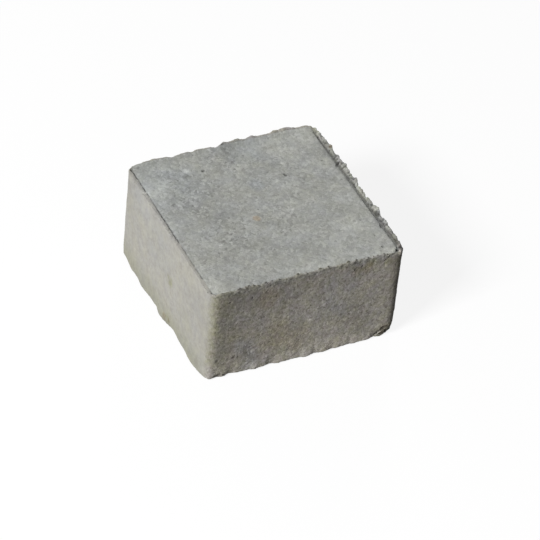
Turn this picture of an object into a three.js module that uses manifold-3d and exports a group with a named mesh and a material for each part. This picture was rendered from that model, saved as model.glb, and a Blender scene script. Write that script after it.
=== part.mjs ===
// Concrete paving stone: a square sett, pressed in one piece from stiff concrete in a steel mould.
// Lengths are millimetres. It lies on its bed at Z = 0, with the wearing face up and the front along -Y.
import * as THREE from 'three';
import { mergeVertices } from 'three/addons/utils/BufferGeometryUtils.js';
import Module from 'manifold-3d';

const { degToRad, lerp, seededRandom, smoothstep } = THREE.MathUtils;
const wasm = await Module();
wasm.setup();

// The block inside the mould's four walls, from the bed to the wearing face.
const WIDTH = 100;
const DEPTH = 100;
const HEIGHT = 52;
const CORNER_RADIUS = 4.2;

// The flash: mortar squeezed up between the mould's wall and the tamper's shoe, torn off along its crest.
const FLASH_ROOT = 2.5;

// The line that the shoe's own edge pressed into the wearing face, just inside the flash: its width, and
// how far the shoe was turned in the mould, which narrows the flash along each side.
const LINE_WIDTH = 1.1;
const SHOE_TURN = degToRad(0.35);

// The foot: the concrete slumped outwards a little where the mould was drawn off over the bed.
const BED_ROUND = 1.0;
const FOOT_LIP = 0.9;
const FOOT_RISE = 7;

// How fine the outline is, and the tightest corner that an inner line of it may take.
const EDGE_STEP = 1.1;
const TIGHTEST_RADIUS = 0.8;

// Each side runs anticlockwise, seen from above: the flash's usual height and how much that wanders, how
// far it leans out for its height, its thickness at the root, how deep the shoe's line is beside it, and
// how far the foot spreads and how much that wanders.
const sides = [
  { name: 'front', rise: 1.75, torn: 0.2, lean: 0.05, wall: 1.9, line: 0.5, foot: 0, slump: 0.25 },
  { name: 'right', rise: 1.2, torn: 0.15, lean: 0.45, wall: 1.6, line: 0.7, foot: 0.1, slump: 0.45 },
  { name: 'back', rise: 1.35, torn: 0.2, lean: 0.4, wall: 1.5, line: 0.1, foot: 0.1, slump: 0.45 },
  { name: 'left', rise: 0.4, torn: 0.15, lean: 0.2, wall: 1.9, line: 0.5, foot: 0.1, slump: 0.2 },
];

// Teeth (positive) and gaps (negative) of the torn flash, against its usual height. Each peaks at a
// share of its side and dies out over the lengths before and after that.
const teeth = [
  { side: 'front', at: 0.02, peak: -0.5, before: 4, after: 6 },
  { side: 'front', at: 0.12, peak: -0.8, before: 2.5, after: 2.5 },
  { side: 'front', at: 0.165, peak: 0.7, before: 2, after: 5 },
  { side: 'front', at: 0.24, peak: -0.9, before: 3, after: 3 },
  { side: 'front', at: 0.44, peak: 0.6, before: 2.5, after: 2.5 },
  { side: 'front', at: 0.57, peak: 0.5, before: 4, after: 6 },
  { side: 'front', at: 0.73, peak: 0.5, before: 4, after: 12 },
  { side: 'front', at: 0.98, peak: -2.9, before: 10, after: 6 },
  { side: 'right', at: 0.02, peak: -1.2, before: 6, after: 12 },
  { side: 'right', at: 0.225, peak: 0.4, before: 3, after: 2 },
  { side: 'right', at: 0.262, peak: -0.9, before: 2, after: 2 },
  { side: 'right', at: 0.298, peak: 1.3, before: 2, after: 6 },
  { side: 'right', at: 0.43, peak: -0.7, before: 3, after: 2.5 },
  { side: 'right', at: 0.51, peak: -0.7, before: 2.5, after: 1.5 },
  { side: 'right', at: 0.542, peak: 1.4, before: 2, after: 2.5 },
  { side: 'right', at: 0.665, peak: 0.8, before: 8, after: 9 },
  { side: 'right', at: 0.82, peak: 0.95, before: 3, after: 3 },
  { side: 'right', at: 0.97, peak: -0.6, before: 5, after: 5 },
  { side: 'back', at: 0, peak: -0.4, before: 5, after: 5 },
  { side: 'back', at: 0.155, peak: 1.4, before: 6, after: 9 },
  { side: 'back', at: 0.215, peak: 0.6, before: 2, after: 2.5 },
  { side: 'back', at: 0.29, peak: 0.3, before: 3, after: 3 },
  { side: 'back', at: 0.333, peak: 1.1, before: 3, after: 5 },
  { side: 'back', at: 0.415, peak: 1.2, before: 4, after: 5 },
  { side: 'back', at: 0.49, peak: 0.9, before: 5, after: 2 },
  { side: 'back', at: 0.53, peak: -0.7, before: 2, after: 2 },
  { side: 'back', at: 0.615, peak: 0.4, before: 3, after: 3 },
  { side: 'back', at: 0.655, peak: -0.4, before: 2, after: 2 },
  { side: 'back', at: 0.76, peak: -0.6, before: 5, after: 3 },
  { side: 'back', at: 0.86, peak: 0.5, before: 5, after: 5 },
  { side: 'back', at: 0.98, peak: -0.7, before: 5, after: 4 },
];

// Bulges (positive) and nicks (negative) in the line of the foot, placed like the teeth.
const bulges = [
  { side: 'front', at: 0.06, peak: -0.5, before: 4, after: 3 },
  { side: 'front', at: 0.135, peak: -1.1, before: 4, after: 4 },
  { side: 'front', at: 0.26, peak: 0.7, before: 3, after: 3 },
  { side: 'front', at: 0.345, peak: -0.9, before: 4, after: 3 },
  { side: 'front', at: 0.53, peak: 0.8, before: 4, after: 4 },
  { side: 'front', at: 0.62, peak: 0.7, before: 5, after: 5 },
  { side: 'front', at: 0.69, peak: 0.4, before: 3, after: 3 },
  { side: 'front', at: 0.76, peak: -0.4, before: 3, after: 2 },
  { side: 'front', at: 0.895, peak: -1.0, before: 4, after: 3 },
  { side: 'left', at: 0.05, peak: -0.6, before: 7, after: 7 },
  { side: 'left', at: 0.15, peak: 0.45, before: 4, after: 4 },
  { side: 'left', at: 0.28, peak: 0.6, before: 6, after: 9 },
  { side: 'left', at: 0.44, peak: -0.4, before: 4, after: 3 },
  { side: 'left', at: 0.5, peak: 0.9, before: 8, after: 8 },
  { side: 'left', at: 0.62, peak: -0.8, before: 7, after: 9 },
  { side: 'left', at: 0.85, peak: 0.6, before: 10, after: 9 },
  { side: 'left', at: 0.98, peak: -0.8, before: 6, after: 4 },
];

// Corners knocked off: the middle of each break, its half lengths along the side, into the block and up,
// and its turn about the vertical.
const chips = [
  { x: WIDTH / 2 - 3.5, y: -DEPTH / 2 - 0.4, z: 0, size: [8.5, 2.9, 6.6], turn: 14 },
  { x: -WIDTH / 2 + 7, y: -DEPTH / 2 - 0.1, z: 1, size: [2.2, 1.4, 1.8], turn: 0 },
];
const CHIP_ROUGHNESS = 0.12;

// An even spread of chance values from -1 to 1, always the same for the same index and seed.
function chance(index, seed) {
  return 2 * seededRandom(index * 7919 + seed * 104729) - 1;
}

const straights = [WIDTH, DEPTH, WIDTH, DEPTH].map((length) => length - 2 * CORNER_RADIUS);
const cornerArc = (Math.PI / 2) * CORNER_RADIUS;
const perimeter = straights.reduce((sum, length) => sum + length + cornerArc, 0);

// A smooth wandering value that closes on itself once round the stone.
function wander(distance, wavelength, seed) {
  const cells = Math.round(perimeter / wavelength);
  const place = (distance / perimeter) * cells;
  const cell = Math.floor(place);
  const blend = smoothstep(place - cell, 0, 1);
  return lerp(chance(cell % cells, seed), chance((cell + 1) % cells, seed), blend);
}

// Steps round the rounded square: the centre that the outline turns about, the way out, and the side,
// or the two sides and how far the corner has turned from one to the next.
function walkOutline() {
  const coreX = WIDTH / 2 - CORNER_RADIUS;
  const coreY = DEPTH / 2 - CORNER_RADIUS;
  const cores = [[-coreX, -coreY], [coreX, -coreY], [coreX, coreY], [-coreX, coreY]];
  const stations = [];
  let distance = 0;
  const addRun = (index, length, steps, placeAt) => {
    for (let step = 0; step < steps; step += 1) {
      const share = step / steps;
      stations.push({ index, distance: distance + share * length, ...placeAt(share) });
    }
    distance += length;
  };
  sides.forEach((side, index) => {
    const start = new THREE.Vector2(...cores[index]);
    const end = new THREE.Vector2(...cores[(index + 1) % 4]);
    const heading = (turn) => {
      const angle = ((index - 1 + turn) * Math.PI) / 2;
      return new THREE.Vector2(Math.cos(angle), Math.sin(angle));
    };
    const sideSteps = Math.ceil(straights[index] / EDGE_STEP);
    const cornerSteps = Math.ceil(cornerArc / EDGE_STEP);
    addRun(index, straights[index], sideSteps, (share) => (
      { core: start.clone().lerp(end, share), outward: heading(0), turn: 0 }
    ));
    addRun(index, cornerArc, cornerSteps, (share) => (
      { core: end, outward: heading(share), turn: share }
    ));
  });
  return stations;
}

// The outline's own point at a station, moved out (or in, when negative) by the outset.
function outlinePoint(station, outset) {
  const radius = Math.max(CORNER_RADIUS + outset, TIGHTEST_RADIUS);
  const drawnIn = radius - (CORNER_RADIUS + outset);
  return new THREE.Vector2(
    station.core.x * (1 - drawnIn / (WIDTH / 2 - CORNER_RADIUS)) + station.outward.x * radius,
    station.core.y * (1 - drawnIn / (DEPTH / 2 - CORNER_RADIUS)) + station.outward.y * radius,
  );
}

// A side's value at a station, blended into the next side's value round the corner.
function sideValue(station, name) {
  const next = sides[(station.index + 1) % 4];
  return lerp(sides[station.index][name], next[name], smoothstep(station.turn, 0, 1));
}

// How thick the flash is at a station: the shoe stood a little turned in the mould.
function flashWidth(station) {
  const forward = new THREE.Vector2(-station.outward.y, station.outward.x);
  return sideValue(station, 'wall') - SHOE_TURN * outlinePoint(station, 0).dot(forward);
}

// How much of a tooth or bulge is felt at a station: 1 at its peak and 0 from the end of its reach.
function shareOfPeak(station, { side, at, before, after }) {
  const index = sides.findIndex(({ name }) => name === side);
  const sideLength = straights[index] + 2 * CORNER_RADIUS;
  const forward = new THREE.Vector2(Math.cos((index * Math.PI) / 2), Math.sin((index * Math.PI) / 2));
  const outward = new THREE.Vector2(forward.y, -forward.x);
  if (station.outward.dot(outward) < Math.SQRT1_2) {
    return 0;
  }
  const past = outlinePoint(station, 0).dot(forward) + sideLength * (0.5 - at);
  return Math.max(0, 1 - (past < 0 ? -past / before : past / after));
}

// The flash's crest against the wearing face, at a station.
function crestHeight(station) {
  const ragged = 0.6 * wander(station.distance, 7, 1) + 0.4 * wander(station.distance, 2.5, 2);
  const rim = sideValue(station, 'rise') + sideValue(station, 'torn') * ragged;
  return teeth.reduce((sum, tooth) => sum + tooth.peak * shareOfPeak(station, tooth), rim);
}

// How far the foot stands out past the side.
function footSpread(station) {
  const uneven = 0.7 * wander(station.distance, 16, 3) + 0.3 * wander(station.distance, 5, 4);
  const even = sideValue(station, 'foot') + sideValue(station, 'slump') * uneven;
  return bulges.reduce(
    (sum, bulge) => sum + bulge.peak * smoothstep(shareOfPeak(station, bulge), 0, 1),
    even,
  );
}

// The stone's edge in section, from the bed up the side, over the flash and down into the shoe's line,
// as pairs of outset and height.
function edgeSection(station) {
  const crest = crestHeight(station);
  const lean = sideValue(station, 'lean') * Math.max(crest, 0);
  const wall = flashWidth(station);
  const foot = footSpread(station);
  return [
    [foot - BED_ROUND, 0],
    [foot, FOOT_LIP],
    [foot * 0.4, FOOT_RISE / 2],
    [0, FOOT_RISE],
    [0, HEIGHT - FLASH_ROOT],
    [lean, HEIGHT + 0.9 * crest],
    [lean - 0.35 * wall, HEIGHT + crest],
    [-0.8 * wall, HEIGHT + 0.35 * crest],
    [-wall, HEIGHT - sideValue(station, 'line')],
    [-wall - LINE_WIDTH, HEIGHT],
  ];
}

// Lofts the section round the outline, and closes it with the flat bed and the flat wearing face.
function pressedBlock() {
  const stations = walkOutline();
  const count = stations.length;
  const sections = stations.map(edgeSection);
  const rows = sections[0].length;
  const positions = [];
  for (let row = 0; row < rows; row += 1) {
    stations.forEach((station, i) => {
      const [outset, z] = sections[i][row];
      const { x, y } = outlinePoint(station, outset);
      positions.push(x, y, z);
    });
  }
  positions.push(0, 0, 0);
  positions.push(0, 0, HEIGHT);
  const bedCentre = rows * count;
  const faceCentre = bedCentre + 1;
  const topRow = bedCentre - count;
  const triangles = [];
  for (let i = 0; i < count; i += 1) {
    const next = (i + 1) % count;
    for (let low = 0; low < topRow; low += count) {
      triangles.push(low + i, low + next, low + next + count);
      triangles.push(low + i, low + next + count, low + i + count);
    }
    triangles.push(bedCentre, next, i);
    triangles.push(faceCentre, topRow + i, topRow + next);
  }
  const geometry = new THREE.BufferGeometry();
  geometry.setAttribute('position', new THREE.Float32BufferAttribute(positions, 3));
  geometry.setIndex(triangles);
  return geometry;
}

// A lump with a broken, faceted skin, set where a corner of the stone came away.
function brokenLump({ x, y, z, size, turn }, number) {
  const geometry = new THREE.IcosahedronGeometry(1, 2);
  geometry.deleteAttribute('normal');
  geometry.deleteAttribute('uv');
  const lump = mergeVertices(geometry);
  const position = lump.getAttribute('position');
  const point = new THREE.Vector3();
  for (let i = 0; i < position.count; i += 1) {
    point.fromBufferAttribute(position, i).multiplyScalar(1 + CHIP_ROUGHNESS * chance(i, 10 + number));
    position.setXYZ(i, point.x, point.y, point.z);
  }
  return lump.scale(...size).rotateZ(degToRad(turn)).translate(x, y, z);
}

function solidOf(geometry) {
  const vertProperties = new Float32Array(geometry.getAttribute('position').array);
  const triVerts = new Uint32Array(geometry.getIndex().array);
  return new wasm.Manifold(new wasm.Mesh({ numProp: 3, vertProperties, triVerts }));
}

function geometryOf(solid) {
  const { vertProperties, triVerts } = solid.getMesh();
  const geometry = new THREE.BufferGeometry();
  geometry.setAttribute('position', new THREE.BufferAttribute(vertProperties, 3));
  geometry.setIndex(new THREE.BufferAttribute(triVerts, 1));
  geometry.computeVertexNormals();
  return geometry;
}

const whole = solidOf(pressedBlock());
const stone = chips.map(brokenLump).map(solidOf).reduce((rest, lump) => rest.subtract(lump), whole);

const concrete = new THREE.MeshStandardMaterial({ color: 0x9c9c97, roughness: 0.95, metalness: 0 });
const pavingStone = new THREE.Mesh(geometryOf(stone), concrete);
pavingStone.name = 'paving_stone';

const part = new THREE.Group();
part.name = 'concrete_paving_stone';
part.add(pavingStone);

export default part;
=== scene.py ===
# %% [markdown]
# # A concrete paving stone
# This is one square sett, pressed in one go from stiff concrete in a steel mould. The CAD model already
# has its size, the torn flash round the wearing face, the slumped foot and the knocked-off corners.
# This lesson gives that solid the skin of real concrete: sand, pores, drag marks, crumbs and stains.
# Everything is in metres, and stands where the CAD model stands.

import math
from types import SimpleNamespace

import bmesh
import bpy
from mathutils import Matrix, Vector, noise
from mathutils.geometry import intersect_point_line


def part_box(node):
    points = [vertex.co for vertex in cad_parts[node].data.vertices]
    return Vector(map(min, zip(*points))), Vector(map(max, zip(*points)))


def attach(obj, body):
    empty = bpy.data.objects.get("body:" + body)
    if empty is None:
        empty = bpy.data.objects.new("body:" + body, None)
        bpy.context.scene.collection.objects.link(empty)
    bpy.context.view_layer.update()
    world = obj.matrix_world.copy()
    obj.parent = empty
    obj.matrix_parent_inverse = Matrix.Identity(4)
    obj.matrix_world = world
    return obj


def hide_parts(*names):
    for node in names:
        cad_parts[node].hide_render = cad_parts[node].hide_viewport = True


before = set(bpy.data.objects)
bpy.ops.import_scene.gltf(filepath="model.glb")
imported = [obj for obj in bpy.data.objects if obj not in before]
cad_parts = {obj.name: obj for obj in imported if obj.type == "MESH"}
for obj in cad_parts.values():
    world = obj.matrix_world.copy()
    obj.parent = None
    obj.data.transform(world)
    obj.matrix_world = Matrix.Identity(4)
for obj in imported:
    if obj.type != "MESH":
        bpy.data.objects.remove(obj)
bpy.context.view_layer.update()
cad_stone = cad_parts["paving_stone"]
low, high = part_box("paving_stone")
print("CAD box, mm:", [round(1000 * value, 2) for value in (*low, *high)])

# %% [markdown]
# ## Units and colours
# The stone's own sizes are easier to read in millimetres, and Blender works in metres, so MM turns one
# into the other. Colours are written as the sRGB hex codes that a colour picker gives. Cycles works with
# linear light, so one function turns them, and every colour goes through it.

# %% Millimetres and linear colour
MM = 0.001


def linear(hex_code):
    """The linear RGBA colour of an sRGB hex code such as '9c9d99'."""
    channels = [int(hex_code[i:i + 2], 16) / 255 for i in (0, 2, 4)]
    return [c / 12.92 if c <= 0.04045 else ((c + 0.055) / 1.055) ** 2.4 for c in channels] + [1.0]


def per_mm(size):
    """The scale of a procedural pattern whose cells or waves are that many millimetres across."""
    return 1 / (size * MM)


print("mid grey 808080 is", round(linear("808080")[0], 3), "in linear light")

# %% [markdown]
# ## Camera
# A long lens from far away keeps the stone's edges almost parallel. The camera is placed by the two
# angles that it looks from, a roll about its own axis and a small slide across the view, so its matrix
# is built from the directions that it calls right, up and back. A Track To constraint would do the same
# without the roll.

# %% Camera
LENS_DISTANCE = 1500 * MM
LENS_AZIMUTH = math.radians(-29.453)
LENS_ELEVATION = math.radians(40.605)
LENS_ROLL = math.radians(6.465)
LENS_SLIDE = (7.011 * MM, 10.769 * MM)
LENS_LENGTH = 206.43

back = Vector((
    math.sin(LENS_AZIMUTH) * math.cos(LENS_ELEVATION),
    -math.cos(LENS_AZIMUTH) * math.cos(LENS_ELEVATION),
    math.sin(LENS_ELEVATION),
))
level = Vector((math.cos(LENS_AZIMUTH), math.sin(LENS_AZIMUTH), 0))
right = Matrix.Rotation(LENS_ROLL, 3, back) @ level
up = back.cross(right)

camera_data = bpy.data.cameras.new("camera")
camera_data.lens = LENS_LENGTH
camera_data.sensor_width = 36
camera = bpy.data.objects.new("camera", camera_data)
camera_place = back * LENS_DISTANCE + right * LENS_SLIDE[0] + up * LENS_SLIDE[1]
camera_turn = Matrix((right, up, back)).transposed().to_4x4()
camera.matrix_world = Matrix.Translation(camera_place) @ camera_turn
bpy.context.scene.collection.objects.link(camera)
bpy.context.scene.camera = camera
print("camera at", [round(value, 3) for value in camera_place])

# %% [markdown]
# ## Materials, node by node
# A material is a tree of nodes. The function below adds one node, sets its properties, fills its input
# sockets with numbers or with another node's output, and gives it back. Every material here is built
# with it, so each line reads as one step of the recipe.

# %% One function for every node


def add_node(tree, kind, inputs=None, stops=None, **settings):
    """Adds a node. Inputs are numbers, colours or other nodes' outputs, by socket name or number."""
    node = tree.nodes.new("ShaderNode" + kind)
    for name, value in settings.items():
        setattr(node, name, value)
    for name, value in (inputs or {}).items():
        if isinstance(value, bpy.types.NodeSocket):
            tree.links.new(value, node.inputs[name])
        else:
            node.inputs[name].default_value = value
    for position, hex_code in stops or []:
        known = [stop for stop in node.color_ramp.elements if abs(stop.position - position) < 1e-4]
        stop = known[0] if known else node.color_ramp.elements.new(position)
        stop.color = linear(hex_code)
    return node


def empty_material(name):
    """A material with nothing in it but its output node."""
    material = bpy.data.materials.new(name)
    material.use_nodes = True
    material.node_tree.nodes.clear()
    return material, add_node(material.node_tree, "OutputMaterial")


# %% [markdown]
# ## Floor and light
# The stone lies on a plain pale studio floor. What the camera sees of it is nearly white and keeps a
# soft shadow: most of it glows at strength 1, which is white, and the rest is white paint that the shadow
# falls on. Light that reaches the stone from below comes off a much darker floor, as it would in a
# small studio with a grey cloth, so the sides that turn away from the lamp stay dark.

# %% Floor
SHADOW_DEPTH = 0.13

floor_mesh = bpy.data.meshes.new("studio_floor")
grid = bmesh.new()
bmesh.ops.create_grid(grid, x_segments=1, y_segments=1, size=6)
bmesh.ops.translate(grid, verts=grid.verts, vec=(0, 0, -0.05 * MM))
grid.to_mesh(floor_mesh)
grid.free()
floor = bpy.data.objects.new("studio_floor", floor_mesh)
bpy.context.scene.collection.objects.link(floor)


def seen_share(tree):
    """1 for rays that end in the picture, straight or by gloss or glass, and 0 for light on the stone."""
    path = add_node(tree, "LightPath")
    seen = path.outputs["Is Camera Ray"]
    for ray in ("Is Glossy Ray", "Is Transmission Ray"):
        seen = add_node(tree, "Math", {0: seen, 1: path.outputs[ray]}, operation="MAXIMUM").outputs[0]
    return seen


paper, paper_output = empty_material("white studio paper")
tree = paper.node_tree
white_paper = add_node(tree, "BsdfDiffuse", {"Color": linear("fbfbfb")})
glow = add_node(tree, "Emission", {"Color": linear("ffffff"), "Strength": 1.0})
shown = add_node(tree, "MixShader", {0: SHADOW_DEPTH, 1: glow.outputs[0], 2: white_paper.outputs[0]})
grey_cloth = add_node(tree, "BsdfDiffuse", {"Color": linear("7c7a76")})
paper_mix = add_node(tree, "MixShader", {0: seen_share(tree), 1: grey_cloth.outputs[0],
                                         2: shown.outputs[0]})
tree.links.new(paper_mix.outputs[0], paper_output.inputs["Surface"])
floor_mesh.materials.append(paper)
print("floor:", [round(side, 2) for side in floor.dimensions], "m, shadow depth", SHADOW_DEPTH)

# %% [markdown]
# One large soft lamp stands to the left, a little in front and above. It lights the left side fully and
# the wearing face well, and it rakes along the front, which is what brings out the sand there. A weaker
# low one behind, to the right, keeps the two far sides from going black. The studio round them is a
# plain dim fill, which the camera sees as white.

# %% Lamps and fill
LAMP_DISTANCE = 2.2
LAMP_SIDE = 0.6
FILL_STRENGTH = 0.13


def add_softbox(name, direction, power):
    """A square soft lamp that looks at the stone from that direction, of that many watts."""
    light = bpy.data.lights.new(name, "AREA")
    light.shape = "SQUARE"
    light.size = LAMP_SIDE
    light.energy = power
    lamp = bpy.data.objects.new(name, light)
    way = Vector(direction).normalized()
    turned = way.to_track_quat("Z", "Y").to_matrix().to_4x4()
    lamp.matrix_world = Matrix.Translation(way * LAMP_DISTANCE) @ turned
    bpy.context.scene.collection.objects.link(lamp)


add_softbox("softbox", (-0.70, -0.26, 0.585), 63.0)
add_softbox("far_softbox", (0.50, 0.84, 0.22), 15.0)

world = bpy.data.worlds.new("studio")
world.use_nodes = True
world.node_tree.nodes.clear()
tree = world.node_tree
world_output = add_node(tree, "OutputWorld")
fill = add_node(tree, "Background", {"Color": linear("ffffff"), "Strength": FILL_STRENGTH})
backdrop = add_node(tree, "Background", {"Color": linear("ffffff"), "Strength": 1.0})
world_mix = add_node(tree, "MixShader", {0: seen_share(tree), 1: fill.outputs[0],
                                         2: backdrop.outputs[0]})
tree.links.new(world_mix.outputs[0], world_output.inputs["Surface"])
bpy.context.scene.world = world
bpy.context.scene.view_settings.view_transform = "Standard"
print("lamps, W:", {lamp.name: round(lamp.energy, 1) for lamp in bpy.data.lights})

# %% [markdown]
# ## The stone's skin
# Concrete is not smooth anywhere, but each face is rough in its own way, because each was made in its
# own way. The wearing face was pressed by a vibrating shoe. The sides were dragged past the mould's
# steel walls when it was drawn off. One side is sealed with cement slurry. The flash tore. The bed lay
# on a board. The relief could be a displacement map on the CAD mesh, but that mesh has long thin
# triangles with nothing to displace. So a copy of it is given an even skin of small faces first, the
# relief moves each point along its normal, and a last step thins the faces where the skin is plain.

# %% An even skin over a copy of the solid
SKIN_FACE = 0.4 * MM


def evaluated_mesh(piece):
    """The mesh that a piece's modifiers make, as a mesh of its own."""
    depsgraph = bpy.context.evaluated_depsgraph_get()
    return bpy.data.meshes.new_from_object(piece.evaluated_get(depsgraph))


skin = bpy.data.objects.new("cast_stone", cad_stone.data.copy())
skin.data.materials.clear()
bpy.context.scene.collection.objects.link(skin)
merged = bmesh.new()
merged.from_mesh(skin.data)
bmesh.ops.remove_doubles(merged, verts=merged.verts, dist=0.002 * MM)
merged.to_mesh(skin.data)
merged.free()
remesh = skin.modifiers.new("even skin", "REMESH")
remesh.mode = "VOXEL"
remesh.voxel_size = SKIN_FACE
skin_mesh = evaluated_mesh(skin)
skin.modifiers.clear()
skin.data = skin_mesh
print("even skin:", len(skin_mesh.vertices), "points")

# %% [markdown]
# ## Where a point lies
# The relief has to know which face it works on. A point's distance in from the mould's wall, the way
# out, and its height say it all: a rounded square is a smaller square with a radius laid round it.

# %% Faces of the stone
HALF_WIDTH = 50.0
HEIGHT = 52.0
CORNER_RADIUS = 4.2
CORE = HALF_WIDTH - CORNER_RADIUS


def smooth(value, start, end):
    """0 before start, 1 after end and a soft step between; start may be the larger one."""
    share = min(1.0, max(0.0, (value - start) / (end - start)))
    return share * share * (3 - 2 * share)


def wall_distance(point):
    """How far in from the mould's wall a point is, in millimetres, and the way out."""
    over_x = abs(point.x) - CORE
    over_y = abs(point.y) - CORE
    if over_x > 0 and over_y > 0:
        reach = math.hypot(over_x, over_y)
        out = Vector((math.copysign(over_x, point.x), math.copysign(over_y, point.y))) / reach
        return CORNER_RADIUS - reach, out
    if over_x > over_y:
        return CORNER_RADIUS - over_x, Vector((math.copysign(1, point.x), 0))
    return CORNER_RADIUS - over_y, Vector((0, math.copysign(1, point.y)))


FACINGS = {
    "front": Vector((0, -1)),
    "right": Vector((1, 0)),
    "back": Vector((0, 1)),
    "left": Vector((-1, 0)),
}


def blend_sides(values, out):
    """The value of the side that a point lies on, blended from side to side round the corners."""
    return sum(values[name] * max(0.0, out.dot(facing)) ** 2 for name, facing in FACINGS.items())


front_right = Vector((1, -1)).normalized()
print("halfway between 1 in front and 3 on the right:",
      round(blend_sides({"front": 1, "right": 3, "back": 0, "left": 0}, front_right), 3))

# %% [markdown]
# ## What the relief is made of
# Sand grains stand out of the paste as small rounded bumps, each one the dome round a point of a
# Voronoi pattern. Voids are the opposite: here and there a point of a coarser pattern is the middle
# of a hole where the stiff mix did not close. Both take real sizes in millimetres.

# %% Grains and voids


def grains(point, size):
    """Rounded bumps of about that size, from about -0.5 in the joints to 0.5 on the crowns."""
    return 0.5 - noise.voronoi(point / size)[0][0]


def voids(point, spacing, share, radius):
    """How deep in a void a point is, from 0 outside it to 1 in the middle."""
    distances, centres = noise.voronoi(point / spacing)
    chance = noise.cell(centres[0] * 7.3) * 0.5 + 0.5
    if chance > share:
        return 0.0
    size = radius * (0.5 + 0.5 * chance / share)
    return max(0.0, 1 - (distances[0] * spacing / size) ** 2)


print("sand of 1.3 mm, every half millimetre:",
      [round(grains(Vector((0.5 * step, 0, 0)), 1.3), 2) for step in range(8)])

# %% [markdown]
# ## The single marks
# Some marks can be pointed at one by one: holes, pebbles that lie bare, stains, the gaps that crumbs leave
# in the shoe's line, cracks, and the corner of the foot that was knocked off. An image could be painted for
# them, but a list is easier to read and to change: where each is, how wide in millimetres, and how deep or
# how strong. One function reads all the lists and gives every mark its own ragged edge.

# %% A mark and how it fades out


def dab(x, y, z, radius, strength):
    """A round mark: its middle and its radius in millimetres, and how strong it is."""
    return Vector((x, y, z)), radius, strength


def mark(marks, point):
    """How strongly the marks of a list show at a point: each fades out at its own ragged edge."""
    strongest = 0.0
    for middle, radius, strength in marks:
        away = (point - middle).length
        if away < 1.4 * radius:
            share = smooth(away / radius + 0.4 * noise.noise(point * 1.2 / radius), 1.0, 0.4)
            strongest = max(strongest, share * strength)
    return strongest


print("in the middle of a dab:", mark([dab(1, 2, 3, 4, 0.5)], Vector((1, 2, 3))))

# %% Holes, as deep as their strength says in millimetres
HOLES = [
    dab(20.8, 21.2, 52, 0.9, 0.85),
    dab(20.9, 20.1, 52, 0.8, 0.7),
    dab(-15.5, 36.4, 52, 1.0, 0.7),
    dab(41.4, -42.9, 52, 0.8, 0.6),
    dab(40.1, -22.0, 52, 0.6, 0.4),
    dab(42.6, 24.7, 52, 0.6, 0.4),
    dab(-33.5, -21.5, 52, 0.7, 0.3),
    dab(-2.6, 26.9, 52, 0.7, 0.3),
    dab(-32.0, -8.9, 52, 0.9, 0.3),
    dab(46.8, -47.1, 51.9, 0.9, 0.9),
    dab(-49.9, -8.2, 4.6, 1.0, 0.18),
    dab(-49.8, -8.7, 3.4, 1.0, 0.2),
    dab(-50.3, -2.9, 3.5, 1.0, 0.12),
    dab(23.9, -50, 48.3, 1.0, 0.25),
    dab(-16.4, -50, 43.9, 0.8, 0.1),
    dab(-40.5, -50, 46.8, 0.7, 0.3),
    dab(27.5, -50, 49.6, 0.9, 0.18),
    dab(33.5, -50, 50.3, 0.8, 0.2),
    dab(-21.5, -50, 32.6, 0.8, 0.16),
    dab(-33.2, -50, 23.7, 0.9, 0.16),
    dab(-27.7, -50, 15.5, 1.2, 0.18),
    dab(-29.3, -50, 12.3, 1.3, 0.2),
    dab(-38.6, -50, 10.9, 1.0, 0.2),
    dab(-35.9, -50, 11.2, 1.0, 0.25),
    dab(-44.3, -50, 11.5, 1.1, 0.25),
]
print(len(HOLES), "holes, the deepest", max(depth for *_, depth in HOLES), "mm")

# %% Bare pebbles and crumbs, lighter than the paste by the strength given
PEBBLES = [
    dab(-23.5, 38.6, 52, 2.8, 0.38),
    dab(22.9, 29.1, 52, 1.5, 0.3),
    dab(15.1, 17.5, 52, 1.8, 0.3),
    dab(0.4, 1.0, 52, 1.4, 0.3),
    dab(1.4, 1.4, 52, 1.0, 0.3),
    dab(-17.5, 30.0, 52, 1.3, 0.25),
    dab(25.2, -0.6, 52, 1.2, 0.25),
    dab(-6.1, -4.3, 52, 2.4, 0.15),
    dab(12.8, -4.0, 52, 1.1, 0.25),
    dab(-30.6, -16.5, 52, 1.2, 0.25),
    dab(-19.6, -0.1, 52, 1.1, 0.25),
    dab(3.7, 18.3, 52, 1.6, 0.25),
    dab(48.6, -44.9, 52, 1.1, 1.2),
    dab(48.1, -47.1, 51.9, 0.8, 1.2),
    dab(47.6, -48.2, 51.6, 0.9, 2.2),
    dab(46.9, -49.1, 51.2, 0.9, 1.8),
    dab(40.3, -50, 46.7, 1.1, 0.5),
    dab(31.7, -50, 49.6, 0.9, 0.4),
    dab(-26.5, -50, 13.1, 1.6, 0.6),
    dab(-25.6, -50, 15.6, 0.8, 0.4),
    dab(-36.1, -50, 33.4, 0.7, 0.6),
    dab(9.4, -50, 30.8, 1.2, 0.4),
    dab(2.3, -50, 23.5, 1.0, 0.4),
    dab(-5.1, -50, 11.4, 1.5, 0.35),
    dab(23.0, -50, 46.6, 0.8, 0.5),
    dab(-49.2, 30.2, 52.5, 1.1, 0.6),
]
print(len(PEBBLES), "bare pebbles and crumbs")

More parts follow.
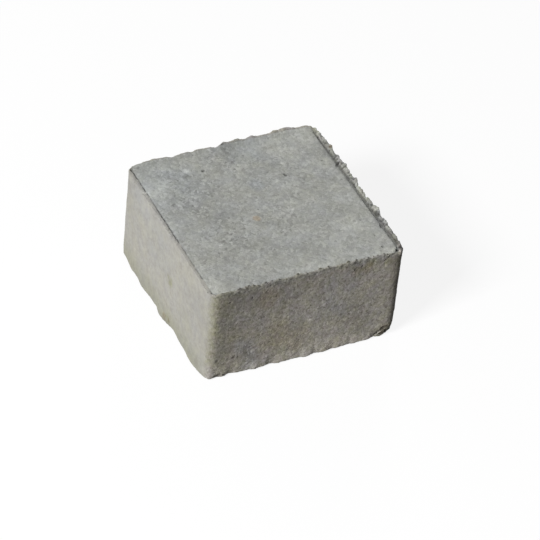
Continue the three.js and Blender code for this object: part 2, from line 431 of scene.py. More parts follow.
# %% Stains: rusty, olive and cool grey
RUST = [
    dab(-6.1, -4.3, 52, 2.6, 0.45),
    dab(49.8, 31.2, 53.4, 1.6, 0.5),
    dab(-50.2, -4.0, 3.4, 2.4, 0.25),
    dab(-49.9, -8.4, 4.0, 1.7, 0.2),
    dab(-16.4, -50, 43.9, 2.5, 0.3),
    dab(-14, -50, 18, 11, 0.16),
    dab(-2, -50, 13, 9, 0.16),
    dab(45.5, -49, 3, 6, 0.35),
    dab(30, -50, 47.8, 4.5, 0.25),
    dab(24.5, -50, 47, 4, 0.2),
    dab(-20, -50, 44, 8, 0.2),
]
OLIVE = [
    dab(-50, -5.5, 27.4, 4.5, 1.0),
    dab(-50, -6.4, 3.2, 5.0, 0.8),
    dab(-50, -39.0, 3.6, 6.0, 0.4),
    dab(-50, -24.0, 18.0, 9.0, 0.2),
    dab(31.0, -50, 50.4, 4.0, 0.6),
    dab(25.5, -50, 47.5, 3.0, 0.6),
    dab(41.5, -50, 48.5, 3.0, 0.8),
    dab(-11.0, -50, 15.0, 15.0, 0.4),
    dab(-40.9, -50, 25.5, 8.0, 0.3),
    dab(46, -49, 3, 8.0, 0.3),
]
COOL = [
    dab(-38, 30, 52, 24, 0.7),
    dab(3.7, 18.3, 52, 5, 0.8),
    dab(8, 44, 52, 14, 0.5),
    dab(-27, -50, 7, 8, 1.0),
    dab(-33, -50, 18, 6, 0.9),
    dab(14, -50, 32, 16, 0.7),
    dab(-50, 8, 40, 22, 0.4),
    dab(-47, -49, 3, 7, 0.5),
]
print(len(RUST) + len(OLIVE) + len(COOL), "stains")

# %% Open mortar on the wearing face, and gaps in the line of the shoe
OPEN_FACE = [
    dab(-28, 24, 52, 18, 1.0),
    dab(-22, -12, 52, 18, 1.0),
    dab(-2, 40, 52, 14, 0.8),
    dab(4, -4, 52, 16, 0.5),
]
LINE_GAPS = [
    dab(-48.1, 30.0, 52, 1.2, 1.0),
    dab(-48.1, 25.0, 52, 9.0, 0.5),
    dab(-48.1, -10.5, 52, 2.4, 1.0),
    dab(-48.1, -19.5, 52, 2.2, 0.8),
    dab(-48.1, -40.0, 52, 6.0, 1.0),
    dab(-48.1, -26.0, 52, 26.0, 0.55),
]
print(len(OPEN_FACE), "open places and", len(LINE_GAPS), "gaps")

# %% [markdown]
# The front crest was torn as the shoe lifted, so small teeth stand on it. They differ only in where they
# stand along the front, in half their width, and in how far they rise above the CAD model's crest, or fall
# short of it. Cracks run from one point to another, and fade out over a half width.

# %% Teeth on the front crest
TEETH = [
    (-44.7, 1.0, 0.6), (-36.3, 1.4, 0.9), (-31.4, 0.8, 0.7), (-28.9, 0.8, 0.7), (-26.8, 0.7, 0.6),
    (-25.2, 0.8, -0.8), (-23.0, 1.0, 0.8), (-21.6, 0.7, -0.9), (-19.7, 0.8, 0.7), (-15.6, 1.2, 0.5),
    (-12.8, 1.1, -0.6), (-6.4, 1.1, 1.0), (5.0, 1.3, 0.8), (9.4, 1.0, 0.7), (19.6, 1.2, 1.1),
    (23.8, 0.7, 1.1), (27.8, 0.7, 0.6), (30.0, 0.8, 0.7), (32.9, 0.7, 0.6), (35.0, 0.7, 0.6),
    (38.3, 0.8, 0.6), (41.5, 1.8, -0.5),
]


def tooth_lift(point, inset):
    """How much higher than the CAD model's crest a point of the front crest stands."""
    lift = 0.5 * noise.noise(Vector((point.x / 1.3, 3.1, 0)))
    for middle, half_width, height in TEETH:
        lift += height * smooth(abs(point.x - middle) / half_width, 1.0, 0.2)
    return lift * smooth(point.z, 52.1, 52.9) * smooth(inset, -0.3, 0.6)


print(len(TEETH), "teeth, the highest", max(height for *_, height in TEETH), "mm over the crest")

# %% Cracks
CRACK_REACH = 8


def crack(start, end, half_width, strength):
    """A straight crack between two points, in millimetres, and how strong it is: its depth and painted
    shade.
    """
    return Vector(start), Vector(end), half_width, strength


CRACKS = [
    crack((39.6, -49.5, 2.4), (42.3, -49.9, 5.0), 0.8, 0.75),
    crack((42.3, -49.9, 5.0), (43.2, -50, 6.3), 0.6, 0.75),
    crack((43.2, -50, 6.3), (46.2, -50, 6.4), 0.7, 0.75),
    crack((46.2, -50, 6.4), (47.3, -49.7, 6.2), 0.6, 0.6),
    crack((45.4, -48.6, 4.0), (46.2, -47.7, 0.5), 0.6, 0.8),
    crack((-40.9, -49.0, 1.2), (-40.0, -49.3, 1.6), 0.8, 1.0),
    crack((47.7, -45.2, 51.7), (46.9, -46.9, 51.9), 0.4, 0.5),
    crack((46.9, -46.9, 51.9), (46.5, -47.5, 51.8), 0.9, 1.0),
    crack((46.2, -47.8, 51.7), (43.4, -49.7, 52.1), 0.5, 0.6),
    crack((43.4, -49.7, 52.1), (42.0, -50, 52.5), 0.6, 0.7),
    crack((43.2, -50, 51.9), (38.4, -50, 49.4), 0.5, 0.3),
    crack((49.2, -46.1, 52.3), (49.4, -46.6, 52.3), 0.6, 0.6),
    crack((-45.0, -49.0, 53.1), (-42.6, -49.5, 53.5), 0.4, 0.6),
    crack((48.6, 20.2, 51.8), (47.0, 18.0, 52.0), 0.8, 0.6),
    crack((49.3, -14.4, 52.9), (49.2, -15.6, 52.8), 0.7, 0.6),
    crack((49.4, -20.4, 53.2), (49.4, -21.8, 53.2), 0.8, 0.7),
    crack((47.6, -28.4, 51.7), (47.3, -29.6, 51.8), 0.8, 0.6),
    crack((49.6, 42.2, 53.0), (49.7, 40.4, 53.0), 0.8, 0.5),
    crack((-48.6, 48.8, 52.4), (-48.2, 47.4, 52.4), 0.6, 0.7),
    crack((0.2, 50.0, 53.6), (1.2, 50.0, 53.7), 0.5, 0.6),
]


def crack_share(point):
    """How strong a crack is at a point, for its depth and its painted shade: it fades out over its half
    width.
    """
    darkest = 0.0
    for start, end, half_width, strength in CRACKS:
        if (point - start).length < CRACK_REACH:
            nearest, share = intersect_point_line(point, start, end)
            nearest = start.lerp(end, min(1.0, max(0.0, share)))
            away = (point - nearest).length / half_width + 0.5 * noise.noise(point * 1.3)
            darkest = max(darkest, strength * smooth(away, 1.2, 0.4))
    return darkest


print(len(CRACKS), "cracks, the longest", round(max((end - start).length for start, end, *_ in CRACKS), 1),
      "mm")

# %% The knocked-off corner of the foot, as the CAD model cuts it: the skin of a turned ellipsoid
BREAK_MIDDLE = Vector((46.5, -50.4, 0))
BREAK_SIZE = Vector((8.5, 2.9, 6.6))
BREAK_TURN = math.radians(14)
TURN_BACK = Matrix.Rotation(-BREAK_TURN, 3, "Z")


def break_share(point):
    """1 on the skin of the knocked-off corner, and 0 away from it."""
    turned = TURN_BACK @ (point - BREAK_MIDDLE)
    return smooth(Vector([turned[i] / BREAK_SIZE[i] for i in range(3)]).length, 1.06, 1.0)


print("in the break and beside it:", break_share(Vector((44, -49, 2))), break_share(Vector((0, -50, 2))))

# %% [markdown]
# ## Lighter and darker patches
# The mortar isn't one grey. It is lighter where the shoe rubbed the wearing face along its edges and
# towards the foot of the front, and darker where the front tore open. These patches are as wide as a thumb
# or wider, and each only adds or takes a share of the light that the skin gives back. One of them is
# painted light on the knocked-off corner of the foot, which turns away from the lamp.
# The same function also swells the sides a little where they bulge, or draws them in.

# %% Patches and bulges
PATCHES_AND_PAINTED_LIGHT = [
    dab(-40, -50, 40, 42, -0.2),
    dab(28, -50, 40, 24, 0.08),
    dab(-6, -50, 17, 20, 0.13),
    dab(8, -50, 14, 10, -0.06),
    dab(40, -50, 8, 10, 0.08),
    # Painted light on the knocked-off corner of the foot, which turns away from the lamp.
    dab(48, -48, 3, 5, 0.35),
    dab(-40, -50, 34, 18, 0.07),
    dab(-24, 8, 52, 22, -0.04),
    dab(34, -28, 52, 20, 0.05),
    dab(-42, -38, 52, 20, 0.12),
    dab(27, -23, 52, 17, 0.07),
    dab(-42, -11, 52, 13, -0.08),
    dab(-40, 14, 52, 14, 0.09),
    dab(-4, 25, 52, 13, -0.1),
    dab(-30, 39, 52, 14, 0.09),
    dab(26, 32, 52, 15, 0.08),
    dab(-14, -42, 52, 14, 0.15),
    dab(-28, -28, 52, 11, -0.08),
    dab(-22, -50, 44, 17, -0.1),
    dab(29, -50, 49, 7, -0.1),
    dab(-50, -5.5, 27.4, 5, -0.06),
    dab(-50, -6.4, 3.2, 6, -0.05),
    dab(-44, 28, 52, 18, 0.07),
    dab(40, 42, 52, 16, 0.08),
    dab(-50, -42, 34, 34, 0.06),
    dab(-50, 50, 44, 22, -0.1),
]
BULGES = [
    dab(-50, 26, 2, 16, 0.45),
    dab(-50, -6, 2, 12, 0.35),
    dab(49.5, -47.9, 17, 14, 0.25),
    dab(49.5, -47.9, 1.0, 7.0, -0.45),
]


def soft_sum(patches, point):
    """What soft round patches add up to at a point: each is strongest in its middle."""
    return sum(strength * smooth((point - middle).length / radius, 1.0, 0.0)
               for middle, radius, strength in patches)


print("shade of the front, upper left and middle:", round(soft_sum(PATCHES_AND_PAINTED_LIGHT, Vector((-40, -50, 40))), 2),
      round(soft_sum(PATCHES_AND_PAINTED_LIGHT, Vector((0, -50, 26))), 2))

# %% [markdown]
# ## What each face is like
# Each face gets its own strength of grain, in millimetres from joint to crown. The flash and the broken
# corner are rougher than any face. The shoe stood a little turned in the mould, so the line that it
# pressed is turned too. The next function tells which part of the stone a point lies on, as shares from
# 0 to 1, and keeps them together in one small object, because all that follows needs them.

# %% Strengths, side by side
SAND = 1.35
SIDE_SAND = 1.0
TORN_LUMP = 2.2
SIDE_GRAIN = {"front": 0.1, "right": 0.15, "back": 0.15, "left": 0.05}
FACE_GRAIN = 0.1
BED_GRAIN = 0.3
TORN_GRAIN = 0.7
SLURRY_SIDE = {"front": 0.0, "right": 0.0, "back": 0.0, "left": 1.0}
TORN_SIDE = {"front": 0.4, "right": 1.0, "back": 0.2, "left": 0.0}
OPEN_SIDE = {"front": 0.95, "right": 1.0, "back": 1.0, "left": 0.27}
FOOT_TONE = {"front": 0.28, "right": 0.0, "back": 0.1, "left": -0.05}
LINE_INSET = {"front": 1.7, "right": 1.75, "back": 0.2, "left": 1.85}
LINE_TURN = {"front": 0.35, "right": 0.0, "back": 0.35, "left": 0.35}
print("grain of the sides, mm:", SIDE_GRAIN)

# %% Where a point lies, in shares
ON_TOP = (50.6, 51.4)
WORN_CORNER = Vector((48.5, -47.5, 50))


def part_of_stone(point, normal):
    """Which part of the stone a point lies on, as shares from 0 to 1, with its inset and its way out."""
    here = SimpleNamespace(point=point, normal=normal)
    here.inset, here.out = wall_distance(point)
    along = point.xy.dot(Vector((-here.out.y, here.out.x)))
    here.on_top = smooth(point.z, *ON_TOP)
    here.line_inset = blend_sides(LINE_INSET, here.out) + 0.15 * noise.noise(point / 3)
    here.line_inset -= math.radians(blend_sides(LINE_TURN, here.out)) * along
    here.face = here.on_top * smooth(here.inset, here.line_inset - 0.3, here.line_inset + 0.1)
    here.crest = here.on_top * (1 - here.face)
    here.broken = break_share(point)
    near_corner = smooth((point - WORN_CORNER).length, 8, 3)
    here.rim = here.crest * blend_sides(TORN_SIDE, here.out) * (1 - 0.7 * near_corner)
    here.torn = max(here.rim, here.broken)
    here.bed = smooth(normal.z, -0.4, -0.8) * (1 - here.broken)
    here.side = (1 - here.face) * (1 - here.bed)
    here.slurry = blend_sides(SLURRY_SIDE, here.out) * here.side * (1 - here.broken)
    here.front = max(0.0, -here.out.y) ** 2
    here.left = max(0.0, -here.out.x) ** 2
    here.back = max(0.0, here.out.y) ** 2
    return here


sample = part_of_stone(Vector((20, -50, 25)), Vector((0, -1, 0)))
print("a sample point on the front: side", sample.side, "face", sample.face, "slurry", sample.slurry)

# %% [markdown]
# ## The line of the shoe and the crest
# The shoe's edge pressed a fine line into the mortar just inside the flash, and its darkness is painted
# shade. On the left it comes and goes, because crumbs fill it up to the level of the face. Outside it the
# flash stands up, and the front one ends in teeth.

# %% The line and the crest
LINE_SIDE = {"front": 0.0, "right": 0.9, "back": 0.0, "left": 1.0}
LINE_HALF_WIDTH = {"front": 0.6, "right": 0.6, "back": 0.6, "left": 0.37}
LINE_DASH = {"front": 0.0, "right": 0.3, "back": 0.0, "left": 1.4}
CRUMB_TOP = HEIGHT + 0.05
CREST_STRETCH = 0.2


def add_line_and_lift(here):
    """Adds the share of the line's painted shade, the height of a tooth, and how far the point rises, in
    millimetres.
    """
    point = here.point
    open_line = 1 + blend_sides(LINE_DASH, here.out) * (noise.noise(point / 1.1) - 0.15)
    open_line = min(1.0, max(0.0, open_line)) * (1 - mark(LINE_GAPS, point))
    from_line = abs(here.inset - here.line_inset) / blend_sides(LINE_HALF_WIDTH, here.out)
    here.line = here.on_top * blend_sides(LINE_SIDE, here.out) * open_line * smooth(from_line, 1.4, 0.4)
    here.tooth = smooth(-here.out.y, 0.5, 0.9) * tooth_lift(point, here.inset)
    crumbs = here.on_top * here.left * (1 - open_line) * smooth(here.inset, 4, 3) * (CRUMB_TOP - point.z)
    over_face = max(0.0, point.z - HEIGHT)
    stretch = CREST_STRETCH * over_face * (1 - here.face) * max(here.out.x, here.out.y, 0.0)
    here.lift = crumbs + (here.tooth + stretch)


add_line_and_lift(sample)
print("the sample point rises", sample.lift, "mm")

# %% [markdown]
# ## Relief
# Grains, lumps, slow swells, drag marks, voids, holes and cracks are added up. The slow swells keep every
# face from being a perfect plane. The drag marks are a noise that is stretched upright, which is the way
# that the mould slid off. Voids are common in the clusters where the wearing face stayed open.

# %% Grains, swells, drag marks and voids
SWELLS = ((0.12, 17), (0.08, 7), (0.06, 3))
DRAG = 0.05
DRAG_ACROSS, DRAG_ALONG = 1.6, 14
BREAK_PUSH = 0.6
FACE_OPEN, CLUSTER_OPEN = 0.64, 0.26
FACE_VOIDS, CLUSTER_VOIDS, SIDE_VOIDS = 0.04, 0.5, 0.09
VOID_SPACING = 2
VOID_RADIUS, CLUSTER_RADIUS = 0.55, 0.25
VOID_DEPTH = 0.3
CRACK_DEPTH = 0.5


def add_relief(here):
    """Adds how far out of the CAD model's skin the point goes, in millimetres, and what it is made of."""
    point = here.point
    height = here.side * blend_sides(SIDE_GRAIN, here.out) + here.face * FACE_GRAIN + here.bed * BED_GRAIN
    sand = grains(point, SAND if here.face > 0.5 else SIDE_SAND) + 0.7 * noise.noise(point / 1.0)
    here.lumps = grains(point, TORN_LUMP) + 0.6 * noise.noise(point / 1.2)
    relief = height * (1 - here.torn) * sand + TORN_GRAIN * max(here.rim, 0.35 * here.broken) * here.lumps
    relief += sum(size * noise.noise(point / length) for size, length in SWELLS)
    relief += soft_sum(BULGES, point)
    relief += BREAK_PUSH * here.broken * smooth(point.x, 41, 44) * smooth(point.x, 48.5, 46.5)
    stretched = Vector((point.x / DRAG_ACROSS, point.y / DRAG_ACROSS, point.z / DRAG_ALONG))
    relief += DRAG * here.side * (1 - 0.6 * here.slurry) * noise.noise(stretched)

    cluster = min(1.0, max(0.0, mark(OPEN_FACE, point) + 0.6 * noise.noise(point / 7)))
    here.open = here.side * blend_sides(OPEN_SIDE, here.out) + here.face * (
        FACE_OPEN + CLUSTER_OPEN * cluster)
    void_share = here.face * (FACE_VOIDS + CLUSTER_VOIDS * cluster) + SIDE_VOIDS * here.side
    void_radius = VOID_RADIUS + CLUSTER_RADIUS * here.face * cluster
    hollow = voids(point, VOID_SPACING, void_share, void_radius) * (1 - 0.9 * here.slurry)
    hole = mark(HOLES, point)
    here.crack = crack_share(point)
    here.relief = relief - max(VOID_DEPTH * hollow, hole, CRACK_DEPTH * here.crack)
    # How dark voids, holes and the crevices of the torn and broken skin are, as painted shade.
    here.hollow = max(0.7 * hollow, min(1.0, 2 * hole), here.torn * smooth(here.lumps, -0.05, -0.35))


add_relief(sample)
print("the sample point goes out", round(sample.relief, 3), "mm")

# %% [markdown]
# ## Shade and hue
# How light the skin is comes partly from how it was made and partly from painted light and shade. Rubbed
# edges are pale, and the front is lighter towards its foot. The front edge of the wearing face gets a
# painted highlight; the corner at the left of the front, the back edge of the wearing face and the
# down-facing skin of the break get painted light; the corner at the right of the front gets painted shade,
# and so do hollows, the line, the strip beside it on the right, cracks, the front crest and the teeth.
# These are shares of the
# light given back: the broad ones are added to 1, and the fine ones multiply the sum. A call such as
# smooth(here.inset, 12, 4) grows from 0 at 12 mm from the wall to 1 at 4 mm.

# %% Broad shade
TONE_EDGE_HIGHLIGHT = 0.1
TONE_RUBBED, TONE_RUBBED_LEFT, TONE_RUBBED_FRONT = 0.05, 0.08, -0.05
TONE_CORNER_SHADE, TONE_NEAR_CORNER_SHADE = 0.28, 0.06
TONE_LIT_CORNER = 0.23
TONE_BACK_EDGE_LIGHT = 0.13
TONE_TURN = 0.14
TONE_BESIDE_LINE_SHADE = 0.17
TONE_CREST_NEAR_CORNER = 0.4
TONE_UNDER_CREST_LEFT, TONE_UNDER_CREST_FRONT = 0.02, -0.12


def broad_shade(here):
    """The level of the skin that faces, edges and corners give, from patches to rubbed rims, with painted
    light and shade.
    """
    point, side, face = here.point, here.side, here.face
    # Painted highlight: the wearing face is lighter just behind its front edge.
    pressed = face * here.front * smooth(here.inset, 6, 4)
    rubbed = face * smooth(here.inset, 12, 4) * (
        TONE_RUBBED + TONE_RUBBED_LEFT * here.left + TONE_RUBBED_FRONT * here.front)
    # Painted shade on the rounded corner at the right of the front, which turns away from the lamp.
    corner_shade = side * smooth(-point.y, 44, 46.5) * (
        TONE_CORNER_SHADE * smooth(point.x, 44, 46.3) + TONE_NEAR_CORNER_SHADE * smooth(point.x, 41.5, 43))
    lit_reach = 4.4 + 2 * smooth(point.z, 12, 0)
    here.lit_corner = side * smooth(math.hypot(point.x + 47.3, point.y + 49.5), lit_reach, 0.8)
    here.lit_corner *= 1 - 0.9 * smooth(point.z, 11, 3)
    here.turn = side * here.front * smooth(-point.x, 32, 43)
    # Painted shade on the wearing face just inside the line, on the right side of the stone.
    past_line = here.inset - here.line_inset
    beside_line_shade = here.on_top * blend_sides(LINE_SIDE, here.out) * smooth(point.x, 0, 1)
    beside_line_shade *= smooth(past_line, 2.7, 1.2) * smooth(past_line, 0.3, 0.8)
    foot = side * smooth(point.z, 12, 2) * blend_sides(FOOT_TONE, here.out)
    under_crest = side * smooth(point.z, 38, 46) * (
        TONE_UNDER_CREST_LEFT * here.left + TONE_UNDER_CREST_FRONT * here.front)

    shade = 1 + soft_sum(PATCHES_AND_PAINTED_LIGHT, point) + foot + under_crest + TONE_EDGE_HIGHLIGHT * pressed + rubbed
    shade += TONE_LIT_CORNER * here.lit_corner - corner_shade - TONE_TURN * here.turn
    # Painted light on the back edge of the wearing face, which turns away from the lamp.
    shade += TONE_BACK_EDGE_LIGHT * here.on_top * here.back * smooth(here.inset, 2.4, 0.8)
    shade -= TONE_BESIDE_LINE_SHADE * beside_line_shade
    # Darker on the crest of the right side, near the front corner.
    shade -= TONE_CREST_NEAR_CORNER * here.crest * smooth(-point.y, 33, 41) * smooth(point.x, 47.5, 49)
    return shade


print("broad shade of the sample point:", round(broad_shade(sample), 3))

# %% Fine shade
HOLLOW_SHADE = 0.55
LINE_SHADE, LINE_SHADE_LEFT = 0.7, 0.1
CRACK_SHADE = 0.85
CREST_SHADE = 0.03
TOOTH_SHADE = 0.62


def fine_shade(here):
    """What the broad level is multiplied by: painted shade in hollows, the line, cracks, the crest and
    teeth, lighter pebbles, and painted light on the break.
    """
    # Painted shade in hollows and in the line.
    shade = (1 - HOLLOW_SHADE * here.hollow) * (1 - (LINE_SHADE + LINE_SHADE_LEFT * here.left) * here.line)
    # Lighter bare pebbles, and painted shade in cracks.
    shade *= (1 + mark(PEBBLES, here.point)) * (1 - CRACK_SHADE * here.crack)
    # Painted shade on the front crest.
    shade *= 1 - CREST_SHADE * here.crest * here.front
    # Painted shade on the teeth, except on their back sides.
    shade *= 1 - TOOTH_SHADE * smooth(here.tooth, 0.1, 0.5) * smooth(here.normal.y, 0.6, 0.1)
    # Painted light on the skin of the break that faces down, away from the lamp.
    shade *= 1 + here.broken * smooth(-here.normal.z, 0, 0.2) * max(0.0, 0.3 + 0.6 * here.lumps)
    return shade


print("fine shade of the sample point:", round(fine_shade(sample), 3))

# %% Hue: from -1, cool grey, to 1, olive
OLIVE_FOOT, OLIVE_LIT_CORNER, OLIVE_TURN = 0.45, 0.5, 0.3


def hue_of(here):
    """Olive where algae and slurry settle: in stains, at the left foot and at the two front corners."""
    speckle = 0.5 + 1.2 * noise.noise(here.point / 1.4)
    olive = mark(OLIVE, here.point) * min(1.0, max(0.0, speckle + 0.3))
    foot = OLIVE_FOOT * here.left * here.side * smooth(here.point.z, 16, 3)
    lit_corner = OLIVE_LIT_CORNER * here.lit_corner * (0.5 + min(1.0, max(0.0, speckle)))
    return max(olive, foot, lit_corner, OLIVE_TURN * here.turn) - mark(COOL, here.point)


print("hue of the sample point:", round(hue_of(sample), 3))

# %% All of it at one point


def skin_of(point, normal):
    """How a point of the skin moves, in millimetres, and what the skin is there, in shares."""
    here = part_of_stone(point, normal)
    add_line_and_lift(here)
    add_relief(here)
    move = normal * here.relief + Vector((0, 0, here.lift))
    shade = broad_shade(here) * fine_shade(here)
    return move, {"wearing_face": here.face, "torn": here.torn, "slurry": here.slurry, "open": here.open,
                  "rust": mark(RUST, point), "hue": hue_of(here), "shade": shade}


move, kinds = skin_of(sample.point, sample.normal)
print("the sample point moves", [round(step, 3) for step in move], "mm, shade", round(kinds["shade"], 3))

# %% [markdown]
# The relief is added point by point. Nothing may leave the CAD model's box, so a point that would is
# held at its wall: at the bed this is the board that the stone was pressed on. Points on the rim and
# on single marks are noted in a vertex group, so that the next step leaves them alone.

# %% Move the points
KINDS = ("wearing_face", "torn", "slurry", "open", "rust", "hue", "shade")
RIM_START, RIM_WIDTH = 50.5, 3.5


def held_in_box(place):
    """The place nearest to this one, in metres, that is inside the CAD model's box."""
    return Vector([min(max(place[i], low[i]), high[i]) for i in range(3)])


work = bmesh.new()
work.from_mesh(skin.data)
work.normal_update()
layers = {name: work.verts.layers.float.new(name) for name in KINDS}
plain = skin.vertex_groups.new(name="plain")
weights = work.verts.layers.deform.verify()
for vert in work.verts:
    point = vert.co / MM
    move, kinds = skin_of(point, vert.normal)
    for name, share in kinds.items():
        vert[layers[name]] = share
    vert.co = held_in_box((point + move) * MM)
    on_rim = point.z > RIM_START and wall_distance(point)[0] < RIM_WIDTH
    near_mark = max(mark(HOLES, point), mark(PEBBLES, point), kinds["rust"], crack_share(point)) > 0
    vert[weights][plain.index] = 0.0 if on_rim or near_mark else 1.0
work.to_mesh(skin.data)
work.free()
print("moved", len(skin.data.vertices), "points")

# %% [markdown]
# ## Thin the skin
# The even skin has far more faces than the plain parts need. Decimate removes edges where that changes
# the shape least, so the sand on the rough sides keeps its faces and the smooth side gives up most. It
# also shifts points by a few hundredths of a millimetre, so they are held in the box once more.

# %% Thin the skin
MOST_TRIANGLES = 195_000

triangles = sum(len(face.vertices) - 2 for face in skin.data.polygons)
if triangles > MOST_TRIANGLES:
    thin = skin.modifiers.new("thin", "DECIMATE")
    thin.ratio = MOST_TRIANGLES / triangles
    thin.vertex_group = plain.name
    thin.use_collapse_triangulate = True
    thinned = evaluated_mesh(skin)
    skin.modifiers.clear()
    skin.data = thinned
for vertex in skin.data.vertices:
    vertex.co = held_in_box(vertex.co)
skin.vertex_groups.clear()
skin.data.shade_smooth()
skin.data.name = "cast_stone"
print("skin:", len(skin.data.polygons), "faces, attributes", [a.name for a in skin.data.attributes])

# %% [markdown]
# ## Pressed concrete
# Dry cast concrete is grey cement paste round sand and fine gravel. It is dull and matt everywhere.
# The attributes written on the skin say what it is at each point, so they choose between the base
# colours, and a ramp from cool grey to olive tints them.

# %% Base colours of the kinds of skin
SIDE_COLOUR = "aaa59d"
OTHER_COLOURS = {"wearing_face": "9d9e9a", "slurry": "999791", "torn": "a9a9a3", "rust": "8c7452"}
HUES = [(0.0, "f6f9ff"), (0.5, "ffffff"), (1.0, "e4e7cf")]

concrete, concrete_output = empty_material("pressed grey concrete")
tree = concrete.node_tree
coordinates = add_node(tree, "TexCoord").outputs["Object"]
kind = {name: add_node(tree, "Attribute", attribute_name=name).outputs["Fac"] for name in KINDS}
base = linear(SIDE_COLOUR)
for name, colour in OTHER_COLOURS.items():
    base = add_node(tree, "Mix", {0: kind[name], 6: base, 7: linear(colour)}, data_type="RGBA").outputs[2]
hue_place = add_node(tree, "MapRange", {0: kind["hue"], 1: -1.0, 2: 1.0, 3: 0.0, 4: 1.0})
hue = add_node(tree, "ValToRGB", {0: hue_place.outputs[0]}, HUES)
base = add_node(tree, "Mix", {0: 1.0, 6: base, 7: hue.outputs[0]},
                data_type="RGBA", blend_type="MULTIPLY").outputs[2]
print("base colours:", 1 + len(OTHER_COLOURS), "in", len(tree.nodes), "nodes")

# %% [markdown]
# The cement paste is bluish grey here and yellowish grey there, in patches of some 10 mm with smaller
# ones in them. They are quieter on the wearing face and on the sealed side, where fines cover the sand.

# %% Paste
BLUISH, YELLOWISH = "f9fbff", "fffff9"

tint = add_node(tree, "TexNoise", {"Vector": coordinates, "Scale": per_mm(10), "Detail": 3.0})
tint_share = add_node(tree, "MapRange", {0: tint.outputs["Fac"], 1: 0.35, 2: 0.65, 3: 0.0, 4: 1.0})
tinted = add_node(tree, "Mix", {0: tint_share.outputs[0], 6: linear(BLUISH), 7: linear(YELLOWISH)},
                  data_type="RGBA")
quiet = add_node(tree, "Math", {0: kind["wearing_face"], 1: kind["slurry"]}, operation="MAXIMUM")
tint_depth = add_node(tree, "MapRange", {0: quiet.outputs[0], 1: 0.0, 2: 1.0, 3: 1.0, 4: 0.55})
base = add_node(tree, "Mix", {0: tint_depth.outputs[0], 6: base, 7: tinted.outputs[2]},
                data_type="RGBA", blend_type="MULTIPLY").outputs[2]
print("with the paste:", len(tree.nodes), "nodes")

# %% [markdown]
# Each grain of sand has its own grey, and a few are white quartz. A Voronoi pattern gives every cell a
# random colour, which a ramp turns into such a grey. Noise that is added to the place bends the straight
# borders of the cells.

# %% Sand
SAND_GREYS = [(0.0, "a6a5a2"), (0.25, "c7c7c7"), (0.6, "dddddd"), (0.85, "f4f4f4"), (1.0, "ffffff")]
BEND = 2 * MM

bend = add_node(tree, "TexNoise", {"Vector": coordinates, "Scale": per_mm(0.9), "Detail": 1.0})
bent = add_node(tree, "VectorMath", {0: bend.outputs["Color"], 1: (0.5, 0.5, 0.5)}, operation="SUBTRACT")
bent = add_node(tree, "VectorMath", {0: bent.outputs[0], 1: (BEND, BEND, BEND), 2: coordinates},
                operation="MULTIPLY_ADD")
sand_scale = add_node(tree, "MapRange", {0: kind["wearing_face"], 1: 0.0, 2: 1.0, 3: per_mm(SIDE_SAND),
                                         4: per_mm(SAND)})
sand = add_node(tree, "TexVoronoi", {"Vector": bent.outputs[0], "Scale": sand_scale.outputs[0]})
sand_grey = add_node(tree, "ValToRGB", {0: sand.outputs["Color"]}, SAND_GREYS)
base = add_node(tree, "Mix", {0: kind["open"], 6: base, 7: sand_grey.outputs[0]},
                data_type="RGBA", blend_type="MULTIPLY").outputs[2]
print("with the sand:", len(tree.nodes), "nodes")

# %% [markdown]
# Grains also differ in hue. On the open sides each has its own between plum and olive, in clouds of some
# 3 mm where one or the other prevails, and pale grains are a little cooler than dark ones.

# %% Hues of the sand
GRAIN_HUES = [(0.0, "fdf9fe"), (0.5, "ffffff"), (1.0, "fefff6")]
GRAIN_WARMTHS = [(0.0, "fffff8"), (0.5, "ffffff"), (1.0, "f9faff")]

grain_dice = add_node(tree, "SeparateColor", {0: sand.outputs["Color"]})
cloud = add_node(tree, "TexNoise", {"Vector": coordinates, "Scale": per_mm(3), "Detail": 1.0})
cloud_hue = add_node(tree, "MapRange", {0: cloud.outputs["Fac"], 1: 0.3, 2: 0.7, 3: -0.15, 4: 0.75})
grain_place = add_node(tree, "Math", {0: grain_dice.outputs[0], 1: 0.4, 2: cloud_hue.outputs[0]},
                       operation="MULTIPLY_ADD")
sand_hue = add_node(tree, "ValToRGB", {0: grain_place.outputs[0]}, GRAIN_HUES)
hue_share = add_node(tree, "MapRange", {0: quiet.outputs[0], 1: 0.0, 2: 1.0, 3: 1.0, 4: 0.3})
base = add_node(tree, "Mix", {0: hue_share.outputs[0], 6: base, 7: sand_hue.outputs[0]},
                data_type="RGBA", blend_type="MULTIPLY").outputs[2]
sand_warmth = add_node(tree, "ValToRGB", {0: sand.outputs["Color"]}, GRAIN_WARMTHS)
side_share = add_node(tree, "MapRange", {0: kind["wearing_face"], 1: 0.0, 2: 1.0, 3: 1.0, 4: 0.0})
warmth_share = add_node(tree, "Math", {0: hue_share.outputs[0], 1: side_share.outputs[0]},
                        operation="MULTIPLY")
base = add_node(tree, "Mix", {0: warmth_share.outputs[0], 6: base, 7: sand_warmth.outputs[0]},
                data_type="RGBA", blend_type="MULTIPLY").outputs[2]
print("with the hues of the sand:", len(tree.nodes), "nodes")

# %% [markdown]
# The brightness varies too. Fines make a speckle of 0.8 mm, which is coarser than real silt so that it
# shows, over a slow mottle. The mould drew upright streaks on the sides, and slurry dried in clouds.
# Each pattern is centred on 0, times its own depth, and added up. The sum times the skin's own shade is
# the level that the base colour is multiplied by.

# %% Brightness
SPECKLE_DEPTH = 0.42
DRAG_DEPTH = 0.65
CLOUD_DEPTH = 0.34
MOTTLE_DEPTH, MOTTLE_DEPTH_SLURRY = 0.98, 0.15
MIDDLE_LEVEL = 1.08

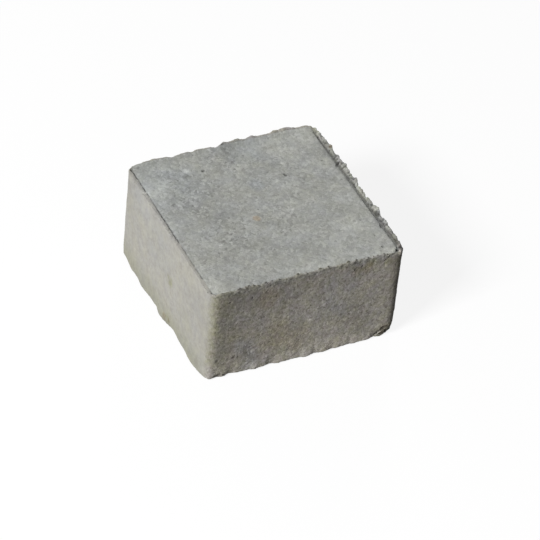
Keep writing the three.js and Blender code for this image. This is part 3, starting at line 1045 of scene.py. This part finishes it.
speckle = add_node(tree, "TexNoise", {"Vector": coordinates, "Scale": per_mm(0.8), "Detail": 1.0})
mottle = add_node(tree, "TexNoise", {"Vector": coordinates, "Scale": per_mm(18), "Detail": 5.0,
                                     "Roughness": 0.66})
upright = add_node(tree, "Mapping", {"Vector": coordinates, "Scale": (1.0, 1.0, 0.35)})
drag = add_node(tree, "TexNoise", {"Vector": upright.outputs[0], "Scale": per_mm(0.6), "Detail": 1.0})
centred = {}
for name, pattern in (("speckle", speckle), ("mottle", mottle), ("drag", drag), ("cloud", cloud)):
    centred[name] = add_node(tree, "Math", {0: pattern.outputs["Fac"], 1: 0.5},
                             operation="SUBTRACT").outputs[0]

brightness = add_node(tree, "Math", {0: centred["speckle"], 1: SPECKLE_DEPTH, 2: centred["mottle"]},
                      operation="MULTIPLY_ADD")
drag_depth = add_node(tree, "MapRange", {0: kind["wearing_face"], 1: 0.0, 2: 1.0, 3: DRAG_DEPTH, 4: 0.0})
brightness = add_node(tree, "Math", {0: centred["drag"], 1: drag_depth.outputs[0],
                                     2: brightness.outputs[0]}, operation="MULTIPLY_ADD")
mottle_depth = add_node(tree, "MapRange", {0: kind["slurry"], 1: 0.0, 2: 1.0, 3: MOTTLE_DEPTH,
                                           4: MOTTLE_DEPTH_SLURRY})
brightness = add_node(tree, "Math", {0: brightness.outputs[0], 1: mottle_depth.outputs[0],
                                     2: MIDDLE_LEVEL}, operation="MULTIPLY_ADD")
cloud_depth = add_node(tree, "Math", {0: kind["slurry"], 1: CLOUD_DEPTH}, operation="MULTIPLY")
brightness = add_node(tree, "Math", {0: centred["cloud"], 1: cloud_depth.outputs[0],
                                     2: brightness.outputs[0]}, operation="MULTIPLY_ADD")
brightness = add_node(tree, "Math", {0: brightness.outputs[0], 1: kind["shade"]}, operation="MULTIPLY")
coloured = add_node(tree, "VectorMath", {0: base, "Scale": brightness.outputs[0]}, operation="SCALE")
print("with the brightness:", len(tree.nodes), "nodes")

# %% [markdown]
# Relief finer than the skin's faces is left to a bump: crowns of sand and specks of 0.1 mm. The sealed
# side gets less of it.

# %% Fine bump and surface
BUMP_HEIGHT = 0.1
ROUGHNESS = 0.92

sand_height = add_node(tree, "Math", {0: sand.outputs["Distance"], 1: -BUMP_HEIGHT}, operation="MULTIPLY")
heights = add_node(tree, "Math", {0: speckle.outputs["Fac"], 1: BUMP_HEIGHT, 2: sand_height.outputs[0]},
                   operation="MULTIPLY_ADD")
bump_share = add_node(tree, "MapRange", {0: kind["wearing_face"], 1: 0.0, 2: 1.0, 3: 0.6, 4: 1.0})
bump_share = add_node(tree, "Math", {0: kind["slurry"], 1: -0.35, 2: bump_share.outputs[0]},
                      operation="MULTIPLY_ADD")
bump = add_node(tree, "Bump", {"Height": heights.outputs[0], "Distance": MM,
                               "Strength": bump_share.outputs[0]})
surface = add_node(tree, "BsdfPrincipled", {
    "Base Color": coloured.outputs[0],
    "Roughness": ROUGHNESS,
    "Diffuse Roughness": 0.6,
    "Specular IOR Level": 0.3,
    "Normal": bump.outputs[0],
})
tree.links.new(surface.outputs[0], concrete_output.inputs["Surface"])
skin.data.materials.append(concrete)
print("the whole material:", len(tree.nodes), "nodes")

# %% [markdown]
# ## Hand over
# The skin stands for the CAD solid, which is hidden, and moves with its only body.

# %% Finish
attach(skin, "root")
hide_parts("paving_stone")
